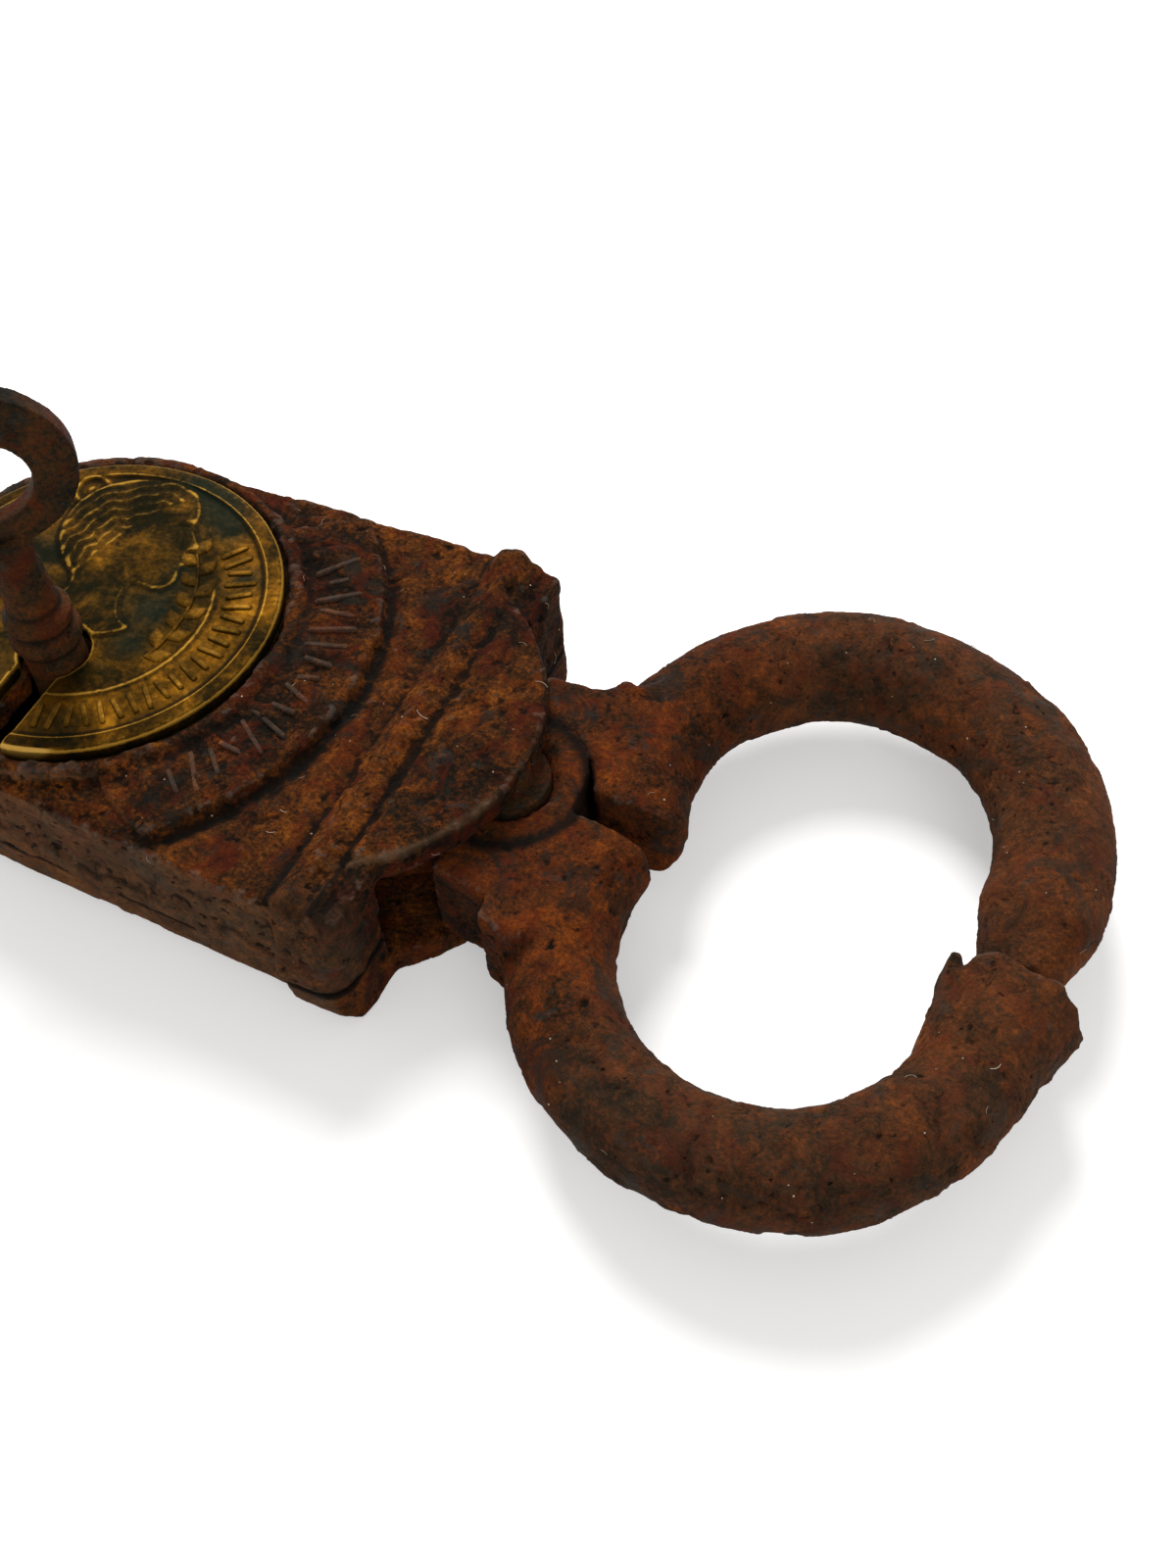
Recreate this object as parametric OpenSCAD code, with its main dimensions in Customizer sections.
// Old cast-iron padlock with a round brass front plate, a key standing in its
// keyhole, and two hinged jaws that close into a ring at the end of the body.
// Millimetres. The lock lies on its flat back: +Z comes out of the front face,
// +X runs towards the jaws, and the origin is on the back face under the disc.

/* [Body] */
// Thickness of the two case halves together
body_t = 18; // [15:0.5:24]
// Height of the seam between the back and the front case
seam_z = 7; // [5:0.5:9]
// Half width of the body at the disc, and radius of its rounded end
body_hw = 23; // [22.5:0.1:30]
// Widening of the half width per millimetre towards the jaws
body_flare = 0.03; // [0:0.005:0.04]
// Softening of the back case's lower edges
back_round = 3.6; // [1:0.2:5]
// Thickness of the side walls at the disc
side_wall = 4.6; // [4:0.1:5]
// Thickness of the front wall
front_wall = 2.5; // [2:0.1:4]
// Thickness of the back wall
back_wall = 3.1; // [2.5:0.1:4]

/* [End flange] */
// Distance from the pivot back to the start of the rib
rib_back = 12.2; // [11:0.2:14]
// Width of the rib along the lock
rib_w = 3.8; // [3:0.1:5]
// Height of the rib above the front face
rib_h = 1.1; // [0.5:0.1:2]
// Distance from the pivot back to the end face
end_back = 5.4; // [5:0.2:7]
// How far the flange stands out beyond the body's side
flange_out = 1.5; // [0.5:0.1:3]
// Half width of the mouth that the jaws swing in
mouth_hw = 17; // [16.6:0.2:19]

/* [Cheeks] */
// Distance from the pivot back to the centre of the cheeks' arc
cheek_back = 18.2; // [17:0.2:20]
// Radius of the front cheek's arc
front_cheek_r = 20.5; // [19.5:0.1:22]
// Radius of the back cheek's arc
back_cheek_r = 21; // [20:0.1:23]
// Thickness of the front cheek
front_cheek_t = 3.5; // [3:0.1:5]
// Depth of the groove between rib and cheek
groove_d = 1.1; // [0.4:0.1:1.6]

/* [Brass disc] */
// Radius of the disc
disc_r = 20; // [18:0.1:20.5]
// Thickness of the disc
disc_t = 2.4; // [1.6:0.1:3]
// Gap between the disc and its iron ring
disc_gap = 0.4; // [0.2:0.05:0.6]
// Width of the iron ring round the disc
ring_w = 1.6; // [1.2:0.1:2]
// Height of the iron ring above the front face
ring_h = 1.7; // [1:0.1:2.5]
// Depth of the field inside the disc's raised rim
rim_d = 0.5; // [0.2:0.1:0.9]
// Width of the disc's raised rim
rim_w = 1.5; // [0.8:0.1:2.5]

/* [Banner] */
// Outer radius of the raised banner beside the disc
banner_r = 30.2; // [27:0.1:31]
// Height of the banner above the front face
banner_h = 0.9; // [0.4:0.1:1.4]
// Number of plain raised bars on the banner
bar_n = 9; // [5:1:13]

/* [Key] */
// Distance of the key from the disc centre along the lock
key_x = 0.6; // [0:0.1:1]
// Distance of the key below the disc centre, across the lock
key_y = 7.3; // [7:0.1:8]
// Radius of the key's shank
shank_r = 3.1; // [2.6:0.1:3.2]
// Radius at which the bit pushes the bolt
bit_reach = 8.8; // [8:0.1:9.2]
// Thickness of the bit's web
bit_t = 1.8; // [1.4:0.1:2.2]
// Radius of the bit's rounded tip
tip_r = 1.6; // [1.2:0.1:1.8]
// Direction of the bit and bow at rest, from the lock's long axis
key_rest = 42; // [40:1:44]
// Turn of the key that draws the bolt
key_turn = 84; // [80:1:86]
// Height of the bow's centre above the front face
bow_z = 26.8; // [22:0.2:34]
// Half width of the bow
bow_a = 9.1; // [8.8:0.1:11]
// Half height of the bow
bow_b = 8.9; // [8.2:0.1:10]
// Thickness of the bow
bow_t = 2.2; // [1.8:0.1:3]
// Radius of the hole in the bow
bow_hole = 4.7; // [4.6:0.1:5]

/* [Jaws] */
// Distance from the disc centre to the pivot
pivot_x = 48; // [47.5:0.1:56]
// Radius of the pivot pin
pin_r = 4.3; // [3.5:0.1:4.6]
// Radius of each jaw's eye round the pin
eye_r = 7.6; // [7:0.1:8]
// Radius of the round rod of the jaws
rod_r = 5.8; // [5.2:0.1:5.8]
// Radius of the lower jaw's rod
lower_rod_r = 5.4; // [5:0.1:5.8]
// Distance from the pivot to the centre of both arcs
ring_x = 30.9; // [28:0.1:36]
// Arc radius of the upper jaw
upper_r = 20.8; // [19.5:0.1:22]
// Arc radius of the lower jaw
lower_r = 20.4; // [19.5:0.1:22]
// Distance of the upper arc's centre above the centreline
upper_y = 11.1; // [9:0.1:13]
// Distance of the lower arc's centre below the centreline
lower_y = 6; // [5:0.1:9]
// Radius of the socket rim on the lower jaw
socket_r = 7.1; // [6.6:0.1:7.8]
// Radius of the upper jaw's tip inside the socket
tenon_r = 3.2; // [2.6:0.1:3.6]
// Opening angle of each jaw
jaw_open = 15; // [12:1:16]

/* [Bolt] */
// Travel of the bolt
throw = 11.6; // [11:0.1:12]
// Distance of the prongs' inner faces from the centreline
prong_y = 12; // [11:0.1:12.4]
// Width of each prong
prong_w = 3.2; // [2.6:0.1:3.6]
// Distance from the pivot back to the prong tips
prong_back = 13.6; // [13:0.1:14]

/* [Springs] */
// Wire diameter of the bolt spring
wire_d = 0.9; // [0.6:0.1:1.1]
// Turns of the bolt spring
turns = 4; // [3:1:4]
// Strip thickness of the jaw spring
strip_t = 0.7; // [0.4:0.1:0.8]

/* [Clearances] */
// Radial clearance of a running pin
run = 0.08; // [0.03:0.01:0.1]
// Radial clearance of a fixed pin in its seat
seat = 0.04; // [0.02:0.01:0.06]
// Gap between sliding or swinging faces
slack = 0.35; // [0.3:0.05:0.5]

/* [Hidden] */

iron = "#5a2f1c";
dark_iron = "#3d2a24";
orange_iron = "#8a4a20";
brass = "#8a6a22";
steel = "#4a4038";

big = 200;
eps = 0.01;
face_z = body_t;
floor_z = back_wall;
ceil_z = body_t - front_wall;
cav_hw = body_hw - side_wall;
rib_x = pivot_x - rib_back;
end_x = pivot_x - end_back;
cheek_x = pivot_x - cheek_back;
cheek_low = ceil_z + 0.3;
cheek_top = cheek_low + front_cheek_t;

// Jaws lie between the two cheeks, split at mid height where they lap.
jaw_gap = 0.4;
jaw_z0 = floor_z + jaw_gap;
jaw_z1 = ceil_z - jaw_gap;
jaw_mid = (jaw_z0 + jaw_z1) / 2;
lap = 0.15;
shoulder_r = eye_r + 0.8;
ring_cx = pivot_x + ring_x;

// Key stations, from the bottom of the shank to the bow.
key_px = key_x;
key_py = -key_y;
plate_t = 1;
plate_z = floor_z + plate_t;
ward_r = 6;
ward_t = 0.9;
ward_z1 = plate_z + 1.6;
bit_z0 = plate_z + 0.5;
bit_z1 = jaw_mid + 0.5;
bow_cz = face_z + bow_z;
slot_w = 4.6;
slot_end = key_py - bit_reach - tip_r - 0.6;
keyhole_r = shank_r + 0.6;

// Bolt levels: the plate runs above the key's bit, the lugs reach down to it.
bolt_z0 = bit_z1 + 0.4;
bolt_z1 = ceil_z - 0.5;
lug_z0 = ward_z1 + 0.3;
cross_x = key_px + shank_r + throw + 0.9;
cross_t = 3;
spine_y0 = key_py + shank_r + 0.9;
spine_y1 = 9.2;
spine_x0 = -2;
notch_x = key_px + bit_reach * cos(key_rest) + 0.1;
lug_gap = tip_r + 0.35;
lug_w = 3;
lug_y0 = key_py + bit_reach * sin(key_rest);
lug_y1 = 2.4;
guide_y = 6.4;
guide_x = 1.2;
guide_r = 1.5;
guide_foot_r = 2.3;
spring_y = 2.4;
spring_z = (bolt_z0 + bolt_z1) / 2;
spring_coil_r = 2.1;
rod_pin_r = 1;

// Tail flanks: each point is where a prong tip stands, seen from the turning jaw,
// after the bolt has drawn back by s and the jaw has opened in proportion.
tail_in = 1.6;
flank_y = prong_y - slack;
function flank(s) =
  let (r = norm([prong_back + s, flank_y]),
       a = atan2(flank_y, prong_back + s) - jaw_open * s / throw)
  [pivot_x - r * cos(a), r * sin(a)];
flank_steps = 8;
tail_outline = concat(
  [[pivot_x - eye_r, tail_in], [flank(throw)[0], tail_in]],
  [for (i = [flank_steps:-1:0]) flank(throw * i / flank_steps)],
  [[pivot_x - eye_r * cos(50), eye_r * sin(50)]]);

function hw(x) = body_hw + body_flare * x;
function arc(cx, cy, r, a0, a1, n) =
  [for (i = [0:n]) let (a = a0 + (a1 - a0) * i / n) [cx + r * cos(a), cy + r * sin(a)]];
function mirror_y(p) = [for (i = [len(p) - 1:-1:0]) [p[i][0], -p[i][1]]];

// Body outline: straight sides from the rib to a round end about the disc.
function body_outline(inset) = concat(
  [[rib_x + 1, inset - hw(rib_x)], [rib_x + 1, hw(rib_x) - inset]],
  arc(0, 0, body_hw - inset, 90, 270, 36));

module at_pivot() {
  translate([pivot_x, 0, 0]) children();
}

module at_key() {
  translate([key_px, key_py, 0]) children();
}

module slab(outline, z0, z1) {
  translate([0, 0, z0]) linear_extrude(z1 - z0) polygon(outline);
}

// Flange section across the lock: it swells below the front face.
flange_hw = hw(rib_x) + flange_out;
flange_section = [
  [flange_hw - 2.2, face_z + 0.4], [flange_hw - 0.6, face_z - 3.5], [flange_hw, face_z - 6.5],
  [flange_hw, seam_z], [flange_hw - 0.7, 3], [flange_hw - 2.4, 0.8], [flange_hw - 4.5, 0]];

module flange() {
  r = 3;
  plan = concat([[rib_x, -flange_hw], [rib_x, flange_hw]],
                arc(end_x - r, flange_hw - r, r, 90, 0, 6),
                arc(end_x - r, -flange_hw + r, r, 0, -90, 6));
  intersection() {
    translate([rib_x, 0, 0]) rotate([90, 0, 90])
      linear_extrude(end_x - rib_x)
        polygon(concat(flange_section,
          [for (i = [len(flange_section) - 1:-1:0]) [-flange_section[i][0], flange_section[i][1]]]));
    slab(plan, 0, face_z + 0.4);
  }
}

module rib() {
  r = rib_w / 2;
  z = face_z + rib_h - r;
  reach = flange_hw - 2.2 - r / 2;
  translate([rib_x + r, -reach, z]) rotate([-90, 0, 0]) cylinder(h = 2 * reach, r = r, $fn = 48);
  for (s = [-1, 1]) translate([rib_x + r, s * reach, z]) sphere(r = r, $fn = 48);
}

module cheek(r, z0, z1) {
  intersection() {
    translate([cheek_x, 0, z0]) cylinder(h = z1 - z0, r = r, $fn = 160);
    translate([rib_x + 1, -mouth_hw - 2, z0]) cube([big, 2 * mouth_hw + 4, z1 - z0]);
  }
}

// Screw bosses at the round end stand up inside the case.
boss_r = 2.9;
boss_x = -10;
boss_y = cav_hw - 4.8;

// Space inside the case and out through the mouth.
module cavity() {
  difference() {
    union() {
      translate([0, 0, floor_z]) cylinder(h = ceil_z - floor_z, r = cav_hw, $fn = 120);
      translate([0, -cav_hw, floor_z]) cube([rib_x, 2 * cav_hw, ceil_z - floor_z]);
    }
    for (s = [-1, 1]) translate([boss_x, s * boss_y, 0]) cylinder(h = body_t, r = boss_r, $fn = 48);
  }
  translate([rib_x - eps, -mouth_hw, floor_z])
    cube([big, 2 * mouth_hw, cheek_low - floor_z]);
}

// Countersunk screws, put in from the back and blind in the front case.
case_screw_r = 1.4;
case_head_r = 1.9;
case_head_h = 1;
case_screw_top = ceil_z - 3;
case_screw_at = [[boss_x, boss_y], [(rib_x + end_x) / 2, mouth_hw + 2.2]];

module case_screw_solid(extra) {
  for (p = case_screw_at, s = [-1, 1]) translate([p[0], s * p[1], 0]) {
    cylinder(h = case_screw_top + extra, r = case_screw_r + extra, $fn = 32);
    cylinder(h = case_head_h, r1 = case_head_r + extra, r2 = case_screw_r + extra, $fn = 32);
  }
}

stud_r = 1.5;
stud_at = [[-13, 8], [11, 10], [-12, -10]];
disc_z0 = face_z + 0.3;
disc_z1 = disc_z0 + disc_t;
ring_r = disc_r + disc_gap + ring_w;
pin_seat_h = 1.2;

module keyhole(r, w, y_end, z0, z1) {
  at_key() translate([0, 0, z0]) cylinder(h = z1 - z0, r = r, $fn = 64);
  translate([key_px - w / 2, y_end, z0]) cube([w, key_py - y_end, z1 - z0]);
}

banner_outline = concat(
  arc(0, 0, banner_r, -47, 49, 24),
  arc(0, 0, disc_r + disc_gap + 0.5, 56, -57, 24));

module banner() {
  slab(banner_outline, face_z - 0.5, face_z + banner_h);
  for (i = [0:bar_n - 1]) {
    a = 41 - 84 * i / (bar_n - 1);
    rotate([0, 0, a]) translate([ring_r + 1.3, -0.35, face_z])
      cube([banner_r - ring_r - 3.6, 0.7, banner_h + 0.35]);
  }
}

module front_case() {
  color(iron) difference() {
    union() {
      slab(body_outline(0), seam_z, face_z);
      intersection() {
        flange();
        translate([0, -big / 2, seam_z]) cube([big, big, big]);
      }
      rib();
      cheek(front_cheek_r, cheek_low - 1, cheek_top);
      translate([0, 0, face_z - 0.5]) cylinder(h = ring_h + 0.5, r = ring_r, $fn = 160);
      intersection() {
        banner();
        slab(body_outline(0), face_z - 1, face_z + 5);
      }
    }
    cavity();
    translate([0, 0, disc_z0]) cylinder(h = big, r = disc_r + disc_gap, $fn = 160);
    translate([rib_x + rib_w, -big / 2, cheek_top - groove_d]) cube([0.8, big, big]);
    keyhole(keyhole_r, slot_w, slot_end, ceil_z - 1, disc_z0 + 1);
    case_screw_solid(seat);
    for (p = stud_at) translate([p[0], p[1], ceil_z - 1])
      cylinder(h = 8, r = stud_r + seat, $fn = 32);
    at_pivot() translate([0, 0, cheek_low - 1])
      cylinder(h = 1 + spigot_h + 0.1, r = spigot_r + seat, $fn = 48);
    translate([guide_x, guide_y, ceil_z - 1])
      cylinder(h = 1 + pin_seat_h, r = guide_r + seat, $fn = 32);
    translate([post_x, 0, ceil_z - 1]) cylinder(h = 1 + pin_seat_h, r = post_r + seat, $fn = 32);
    translate([wall_x - rod_seat, spring_y, spring_z]) rotate([0, 90, 0])
      cylinder(h = rod_seat + 1, r = rod_pin_r + seat, $fn = 32);
  }
}

module back_case() {
  color(dark_iron) difference() {
    union() {
      hull() {
        slab(body_outline(0), back_round, seam_z);
        slab(body_outline(back_round * 0.3), back_round * 0.3, seam_z);
        slab(body_outline(back_round), 0, seam_z);
      }
      intersection() {
        flange();
        translate([0, -big / 2, 0]) cube([big, big, seam_z]);
      }
      cheek(back_cheek_r, 0, floor_z);
    }
    cavity();
    case_screw_solid(seat);
    at_key() translate([0, 0, floor_z - 1.6]) cylinder(h = big, r = shank_r + 0.4, $fn = 64);
    at_pivot() translate([0, 0, floor_z - spigot_h - 0.1])
      cylinder(h = big, r = spigot_r + seat, $fn = 48);
    translate([guide_x, guide_y, floor_z - pin_seat_h])
      cylinder(h = big, r = guide_r + seat, $fn = 32);
    translate([post_x, 0, floor_z - pin_seat_h]) cylinder(h = big, r = post_r + seat, $fn = 32);
    for (p = screw_at) translate([p[0], p[1], floor_z - screw_l])
      cylinder(h = big, r = screw_r + seat, $fn = 32);
  }
}

module case_screws() {
  color(dark_iron) difference() {
    case_screw_solid(0);
    for (p = case_screw_at, s = [-1, 1]) translate([p[0] - 3, s * p[1] - 0.3, -1])
      cube([6, 0.6, 1.6]);
  }
}

module brass_disc() {
  color(brass) difference() {
    translate([0, 0, disc_z0]) rotate_extrude($fn = 160) polygon([
      [0, 0], [disc_r, 0], [disc_r, disc_t - 0.5], [disc_r - 0.5, disc_t],
      [disc_r - rim_w, disc_t], [disc_r - rim_w - rim_d, disc_t - rim_d], [0, disc_t - rim_d]]);
    keyhole(keyhole_r, slot_w, -big, disc_z0 - 1, disc_z1 + 1);
    for (p = stud_at) translate([p[0], p[1], disc_z0 - 1])
      cylinder(h = 1 + disc_t - rim_d - 0.6, r = stud_r + seat, $fn = 32);
  }
}

module disc_studs() {
  color(brass) for (p = stud_at) translate([p[0], p[1], ceil_z])
    cylinder(h = disc_z0 + disc_t - rim_d - 0.7 - ceil_z, r = stud_r, $fn = 32);
}

module key() {
  shank_top = bow_cz - bow_b + 1;
  collar_z = disc_z1 + 1.5;
  tip_z = floor_z - 1.2;
  color(orange_iron) at_key() {
    rotate_extrude($fn = 64) polygon([
      [0, tip_z], [shank_r - 0.6, tip_z], [shank_r, tip_z + 0.6],
      [shank_r, collar_z], [shank_r + 0.5, collar_z + 0.4],
      [shank_r + 0.5, collar_z + 1.5], [shank_r - 0.2, collar_z + 2.1],
      [shank_r - 0.2, collar_z + 2.7], [shank_r + 0.3, collar_z + 3.2],
      [shank_r + 0.3, collar_z + 4.2], [shank_r - 0.5, collar_z + 5],
      [shank_r - 0.9, shank_top - 3], [shank_r - 0.5, shank_top - 1.2],
      [shank_r - 0.9, shank_top], [0, shank_top]]);
    rotate([0, 0, key_rest]) {
      difference() {
        rotate([90, 0, 0]) translate([0, bow_cz, -bow_t / 2]) linear_extrude(bow_t)
          polygon([for (i = [0:63]) [bow_a * cos(i * 5.625), bow_b * sin(i * 5.625)]]);
        translate([0, 0, bow_cz - 1]) rotate([90, 0, 0])
          cylinder(h = 20, r = bow_hole, center = true, $fn = 64);
      }
      difference() {
        union() {
          translate([0, -bit_t / 2, bit_z0]) cube([bit_reach, bit_t, bit_z1 - bit_z0]);
          translate([bit_reach, 0, bit_z0])
            cylinder(h = bit_z1 - bit_z0, r = tip_r, $fn = 32);
        }
        translate([ward_r - ward_t / 2 - 0.3, -5, bit_z0 - 1])
          cube([ward_t + 0.6, 10, ward_z1 + 0.3 - bit_z0 + 1]);
      }
    }
  }
}

root_gap = 1.8;
// Outline of each jaw's flat root, from the mouth out to the round rod.
upper_root = [
  [-2.4, 13.2], [2.3, 13.6], [4.1, 14.4], [5.5, 16.1], [7.3, 15.8], [9, 18], [12, 14],
  [13.4, 9], [12.6, root_gap], [8.5, root_gap], [4, -1], [-1.2, 0], [-1.4, 8]];
lower_root = [
  [-2.4, -12.3], [4.6, -12.9], [4.6, -15.2], [8.5, -16.4], [11, -15], [13, -9],
  [13, -3], [9, 0.8 - root_gap], [4, 1], [-1.2, 0], [-1.4, -8]];

module ring_arc(cy, r, rod, a0, a1) {
  translate([ring_cx, cy, jaw_mid]) rotate([0, 0, a0])
    rotate_extrude(angle = a1 - a0, $fn = 128) translate([r, 0]) circle(r = rod, $fn = 48);
}

module upper_jaw() {
  end_x = ring_cx + upper_r;
  straight = 3.4;
  color(iron) difference() {
    union() {
      difference() {
        union() {
          ring_arc(upper_y, upper_r, rod_r, 0, 212);
          at_pivot() slab(upper_root, jaw_z0, jaw_z1);
        }
        translate([pivot_x + 7, root_gap - 20, 0]) cube([25, 20, body_t]);
        at_pivot() translate([0, 0, jaw_mid - lap])
          cylinder(h = big, r = shoulder_r, $fn = 96);
      }
      at_pivot() translate([0, 0, jaw_z0])
        cylinder(h = jaw_mid - lap - jaw_z0, r = eye_r, $fn = 96);
      slab(mirror_y(tail_outline), jaw_z0, jaw_mid - lap);
      translate([end_x, upper_y, jaw_mid]) rotate([90, 0, 0]) {
        translate([0, 0, -eps]) cylinder(h = straight + eps, r = rod_r, $fn = 64);
        translate([0, 0, straight]) cylinder(h = 6.6, r1 = rod_r, r2 = tenon_r + 0.4, $fn = 64);
        translate([0, 0, straight + 6.6]) cylinder(h = 1.4, r1 = tenon_r + 0.4, r2 = tenon_r, $fn = 64);
        translate([0, 0, straight + 8]) cylinder(h = 4, r = tenon_r, $fn = 64);
        translate([0, 0, straight + 12]) cylinder(h = 1.2, r1 = tenon_r, r2 = tenon_r - 1, $fn = 64);
      }
    }
    at_pivot() cylinder(h = big, r = pin_r + run, center = true, $fn = 96);
  }
}

module lower_jaw() {
  rim_y = -0.5;
  sleeve_l = 12.5;
  sleeve_tilt = 8;
  top_x = ring_cx + upper_r + 0.3;
  color(iron) difference() {
    union() {
      difference() {
        union() {
          ring_arc(-lower_y, lower_r, lower_rod_r, 163, 356);
          at_pivot() slab(lower_root, jaw_z0, jaw_z1);
        }
        translate([pivot_x + 7, 0.8 - root_gap, 0]) cube([25, 20, body_t]);
        at_pivot() translate([0, 0, jaw_z0 - 5])
          cylinder(h = jaw_mid + lap - jaw_z0 + 5, r = shoulder_r, $fn = 96);
      }
      at_pivot() translate([0, 0, jaw_mid + lap])
        cylinder(h = jaw_z1 - jaw_mid - lap, r = eye_r, $fn = 96);
      slab(tail_outline, jaw_mid + lap, jaw_z1);
      translate([top_x, rim_y, jaw_mid]) rotate([-90, 0, -sleeve_tilt]) {
        translate([0, 0, -sleeve_l])
          cylinder(h = sleeve_l, r1 = lower_rod_r - 0.6, r2 = socket_r, $fn = 96);
        translate([0.9 - socket_r, 0, -2]) cylinder(h = 2.8, r1 = 0.9, r2 = 0.5, $fn = 24);
      }
    }
    at_pivot() translate([0, 0, -5]) cylinder(h = 40, r = pin_r + run, $fn = 96);
    at_pivot() translate([0, 0, jaw_z1 - 0.9]) cylinder(h = 5, r = pin_r + 0.7, $fn = 96);
    translate([ring_cx + upper_r, rim_y - 6.8, jaw_mid]) rotate([-90, 0, 0])
      cylinder(h = 20, r = tenon_r + 0.8, $fn = 64);
  }
}

spigot_r = 2.4;
spigot_h = 1.9;

module pivot_pin() {
  color(steel) at_pivot() {
    translate([0, 0, jaw_z0]) cylinder(h = jaw_z1 + 0.2 - jaw_z0, r = pin_r, $fn = 96);
    translate([0, 0, floor_z - spigot_h])
      cylinder(h = cheek_low - floor_z + 2 * spigot_h, r = spigot_r, $fn = 48);
  }
}

module bolt() {
  slot_w2 = guide_r + 0.15;
  color(steel) difference() {
    union() {
      translate([spine_x0, spine_y0, bolt_z0])
        cube([cross_x - spine_x0 + 1, spine_y1 - spine_y0, bolt_z1 - bolt_z0]);
      translate([cross_x, -prong_y - prong_w, lug_z0])
        cube([cross_t, 2 * (prong_y + prong_w), bolt_z1 - lug_z0]);
      for (s = [-1, 1]) {
        y0 = s > 0 ? prong_y : -prong_y - prong_w;
        translate([cross_x, y0, lug_z0])
          cube([pivot_x - prong_back - 1 - cross_x, prong_w, bolt_z1 - lug_z0]);
        translate([pivot_x - prong_back - 1, s * (prong_y + 1), lug_z0])
          cylinder(h = bolt_z1 - lug_z0, r = 1, $fn = 32);
      }
      for (s = [-1, 1]) {
        x0 = s > 0 ? notch_x + lug_gap : notch_x - lug_gap - lug_w;
        translate([x0, lug_y0, lug_z0]) cube([lug_w, lug_y1 - lug_y0, bolt_z0 - lug_z0 + 1]);
      }
    }
    for (x = [guide_x, guide_x + throw]) translate([x, guide_y, 0])
      cylinder(h = big, r = slot_w2, $fn = 48);
    translate([guide_x, guide_y - slot_w2, 0]) cube([throw, 2 * slot_w2, big]);
    translate([spine_x0 - 1, spring_y, spring_z]) rotate([0, 90, 0])
      cylinder(h = throw + rod_in + 1.4, r = rod_pin_r + 0.3, $fn = 32);
  }
}

module bolt_guide_pin() {
  color(steel) translate([guide_x, guide_y, 0]) {
    translate([0, 0, plate_z]) cylinder(h = bolt_z0 - 0.05 - plate_z, r = guide_foot_r, $fn = 48);
    translate([0, 0, floor_z - pin_seat_h + 0.1])
      cylinder(h = ceil_z - floor_z + 2 * pin_seat_h - 0.2, r = guide_r, $fn = 48);
  }
}

// Round wire wound into a compression spring along X.
coil_sides = 8;
coil_steps = 12;
wall_x = -sqrt(cav_hw * cav_hw - spring_y * spring_y);
spring_x0 = -sqrt(pow(cav_hw, 2) - pow(spring_y + spring_coil_r + wire_d, 2)) + 0.1;
spring_x1 = spine_x0 - 0.1;

module bolt_spring() {
  n = turns * coil_steps;
  w = wire_d / 2;
  len_x = spring_x1 - spring_x0 - wire_d;
  pts = [for (i = [0:n], j = [0:coil_sides - 1])
    let (a = 360 * i / coil_steps, b = 360 * j / coil_sides, r = spring_coil_r + w * cos(b))
    [spring_x0 + w + len_x * i / n + w * sin(b), spring_y + r * cos(a), spring_z + r * sin(a)]];
  sides = [for (i = [0:n - 1], j = [0:coil_sides - 1]) let (k = (j + 1) % coil_sides)
    [i * coil_sides + j, (i + 1) * coil_sides + j, (i + 1) * coil_sides + k, i * coil_sides + k]];
  caps = [[for (j = [0:coil_sides - 1]) j],
    [for (j = [coil_sides - 1:-1:0]) n * coil_sides + j]];
  color(steel) polyhedron(points = pts, faces = concat(sides, caps));
}

rod_seat = 2;
rod_in = 1.5;

module bolt_spring_rod() {
  x0 = wall_x - rod_seat + 0.1;
  color(steel) translate([x0, spring_y, spring_z]) rotate([0, 90, 0])
    cylinder(h = spine_x0 + rod_in - x0, r = rod_pin_r, $fn = 32);
}

post_r = 0.7;
post_x = cross_x + cross_t + 3.2;

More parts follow.
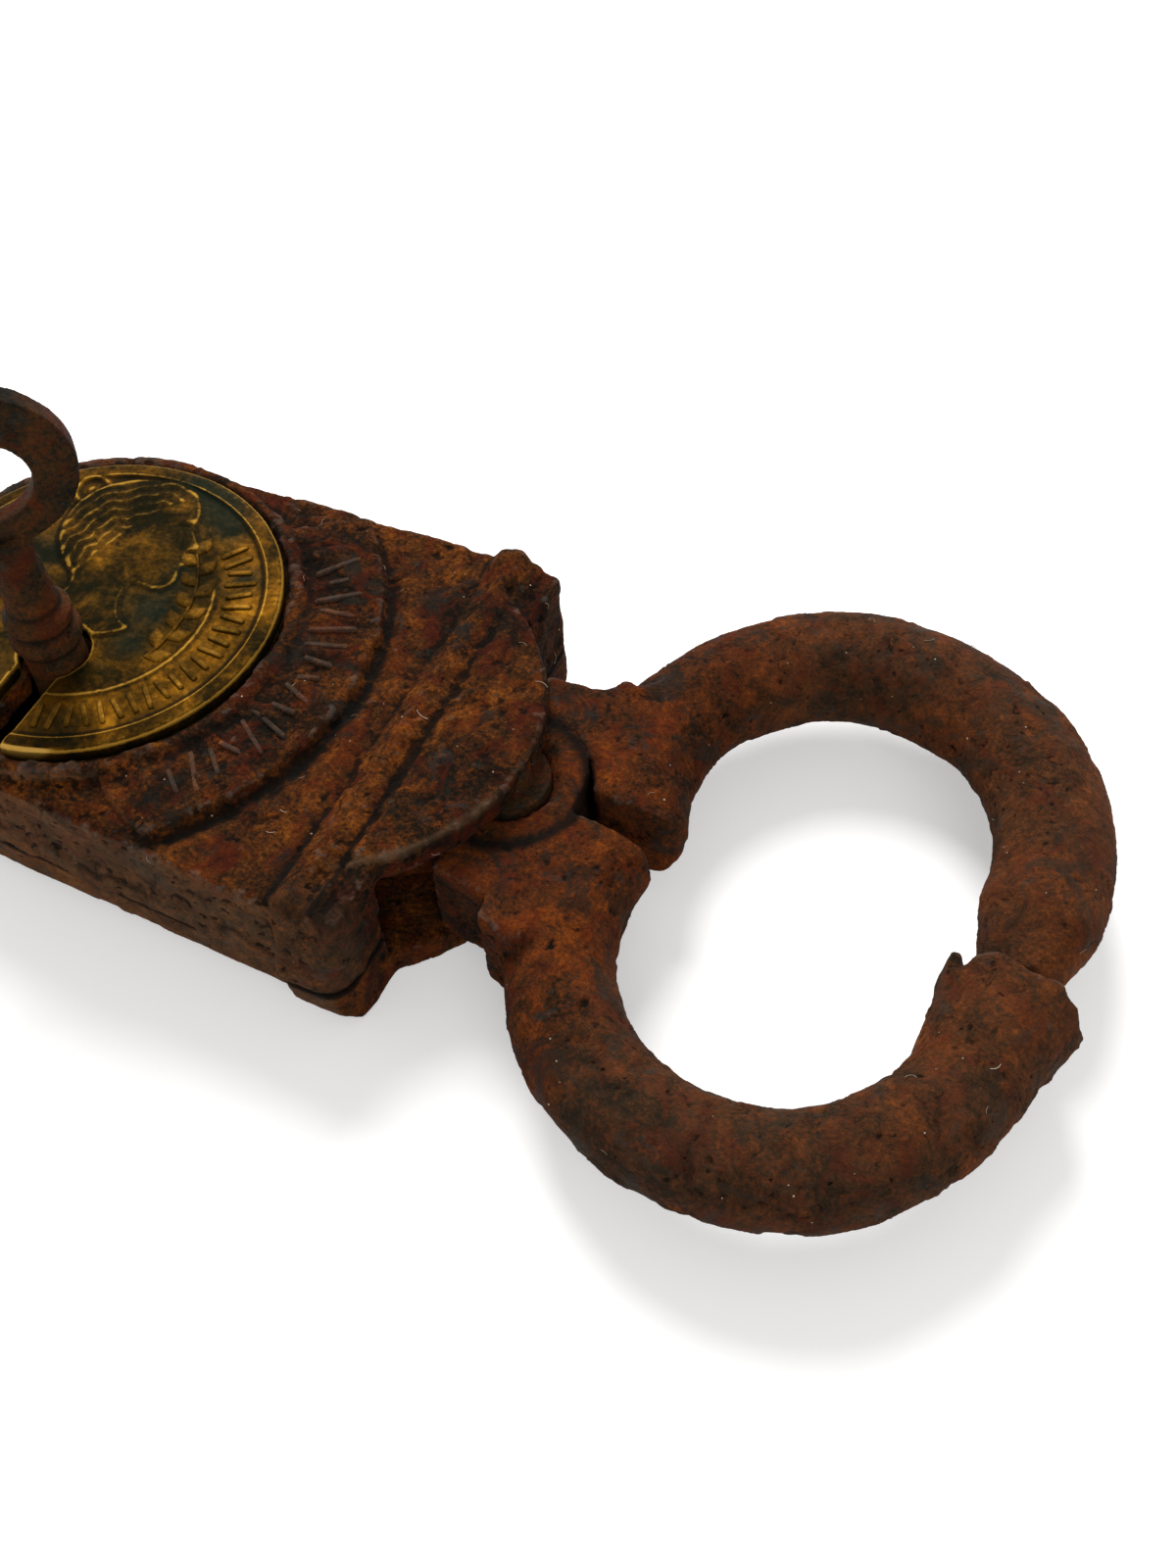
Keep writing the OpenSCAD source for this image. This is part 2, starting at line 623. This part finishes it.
// Strip spring bent round its post, with both arms lying against the jaws' tails.
module jaw_spring() {
  bend_r = post_r + 0.15;
  x_end = pivot_x - eye_r - 0.6;
  arm_y = tail_in - 0.25;
  color(steel) slab(concat(
    arc(post_x, 0, bend_r + strip_t * 0.7, 90, 270, 12),
    [[x_end, -arm_y], [x_end, strip_t - arm_y]],
    arc(post_x, 0, bend_r, 270, 90, 12),
    [[x_end, arm_y - strip_t], [x_end, arm_y]]), jaw_z0 + 1, jaw_z1 - 1);
}

module jaw_spring_post() {
  color(steel) translate([post_x, 0, floor_z - pin_seat_h + 0.1])
    cylinder(h = ceil_z - floor_z + 2 * pin_seat_h - 0.2, r = post_r, $fn = 32);
}

screw_r = 1.1;
screw_head_r = 2.1;
screw_l = 1.9;
screw_at = [[-13, -7], [-13.4, 5.5], [12, -14]];

module lock_plate() {
  r = cav_hw - 0.6;
  x1 = cross_x - 1.4;
  color(steel) difference() {
    slab(concat([[x1, -r], [x1, r]], arc(0, 0, r, 90, 270, 36)), floor_z, plate_z);
    for (s = [-1, 1]) translate([boss_x, s * boss_y, 0])
      cylinder(h = body_t, r = boss_r + 0.3, $fn = 48);
    at_key() cylinder(h = body_t, r = shank_r + run, $fn = 64);
    translate([guide_x, guide_y, 0]) cylinder(h = body_t, r = guide_r + seat, $fn = 32);
    for (p = screw_at) translate([p[0], p[1], 0])
      cylinder(h = body_t, r = screw_r + seat, $fn = 32);
  }
}

module plate_screws() {
  color(steel) for (p = screw_at) translate([p[0], p[1], 0]) difference() {
    union() {
      translate([0, 0, floor_z - screw_l + 0.1])
        cylinder(h = screw_l + plate_t, r = screw_r, $fn = 32);
      translate([0, 0, plate_z]) cylinder(h = 1.1, r1 = screw_head_r, r2 = 1.5, $fn = 32);
    }
    translate([-3, -0.3, plate_z + 0.6]) cube([6, 0.6, 2]);
  }
}

module ward_ring() {
  color(steel) at_key() difference() {
    translate([0, 0, plate_z]) cylinder(h = ward_z1 - plate_z, r = ward_r + ward_t / 2, $fn = 96);
    cylinder(h = big, r = ward_r - ward_t / 2, $fn = 96);
  }
}

front_case();
back_case();
case_screws();
brass_disc();
disc_studs();
key();
upper_jaw();
lower_jaw();
pivot_pin();
bolt();
bolt_guide_pin();
bolt_spring();
bolt_spring_rod();
jaw_spring();
jaw_spring_post();
lock_plate();
plate_screws();
ward_ring();
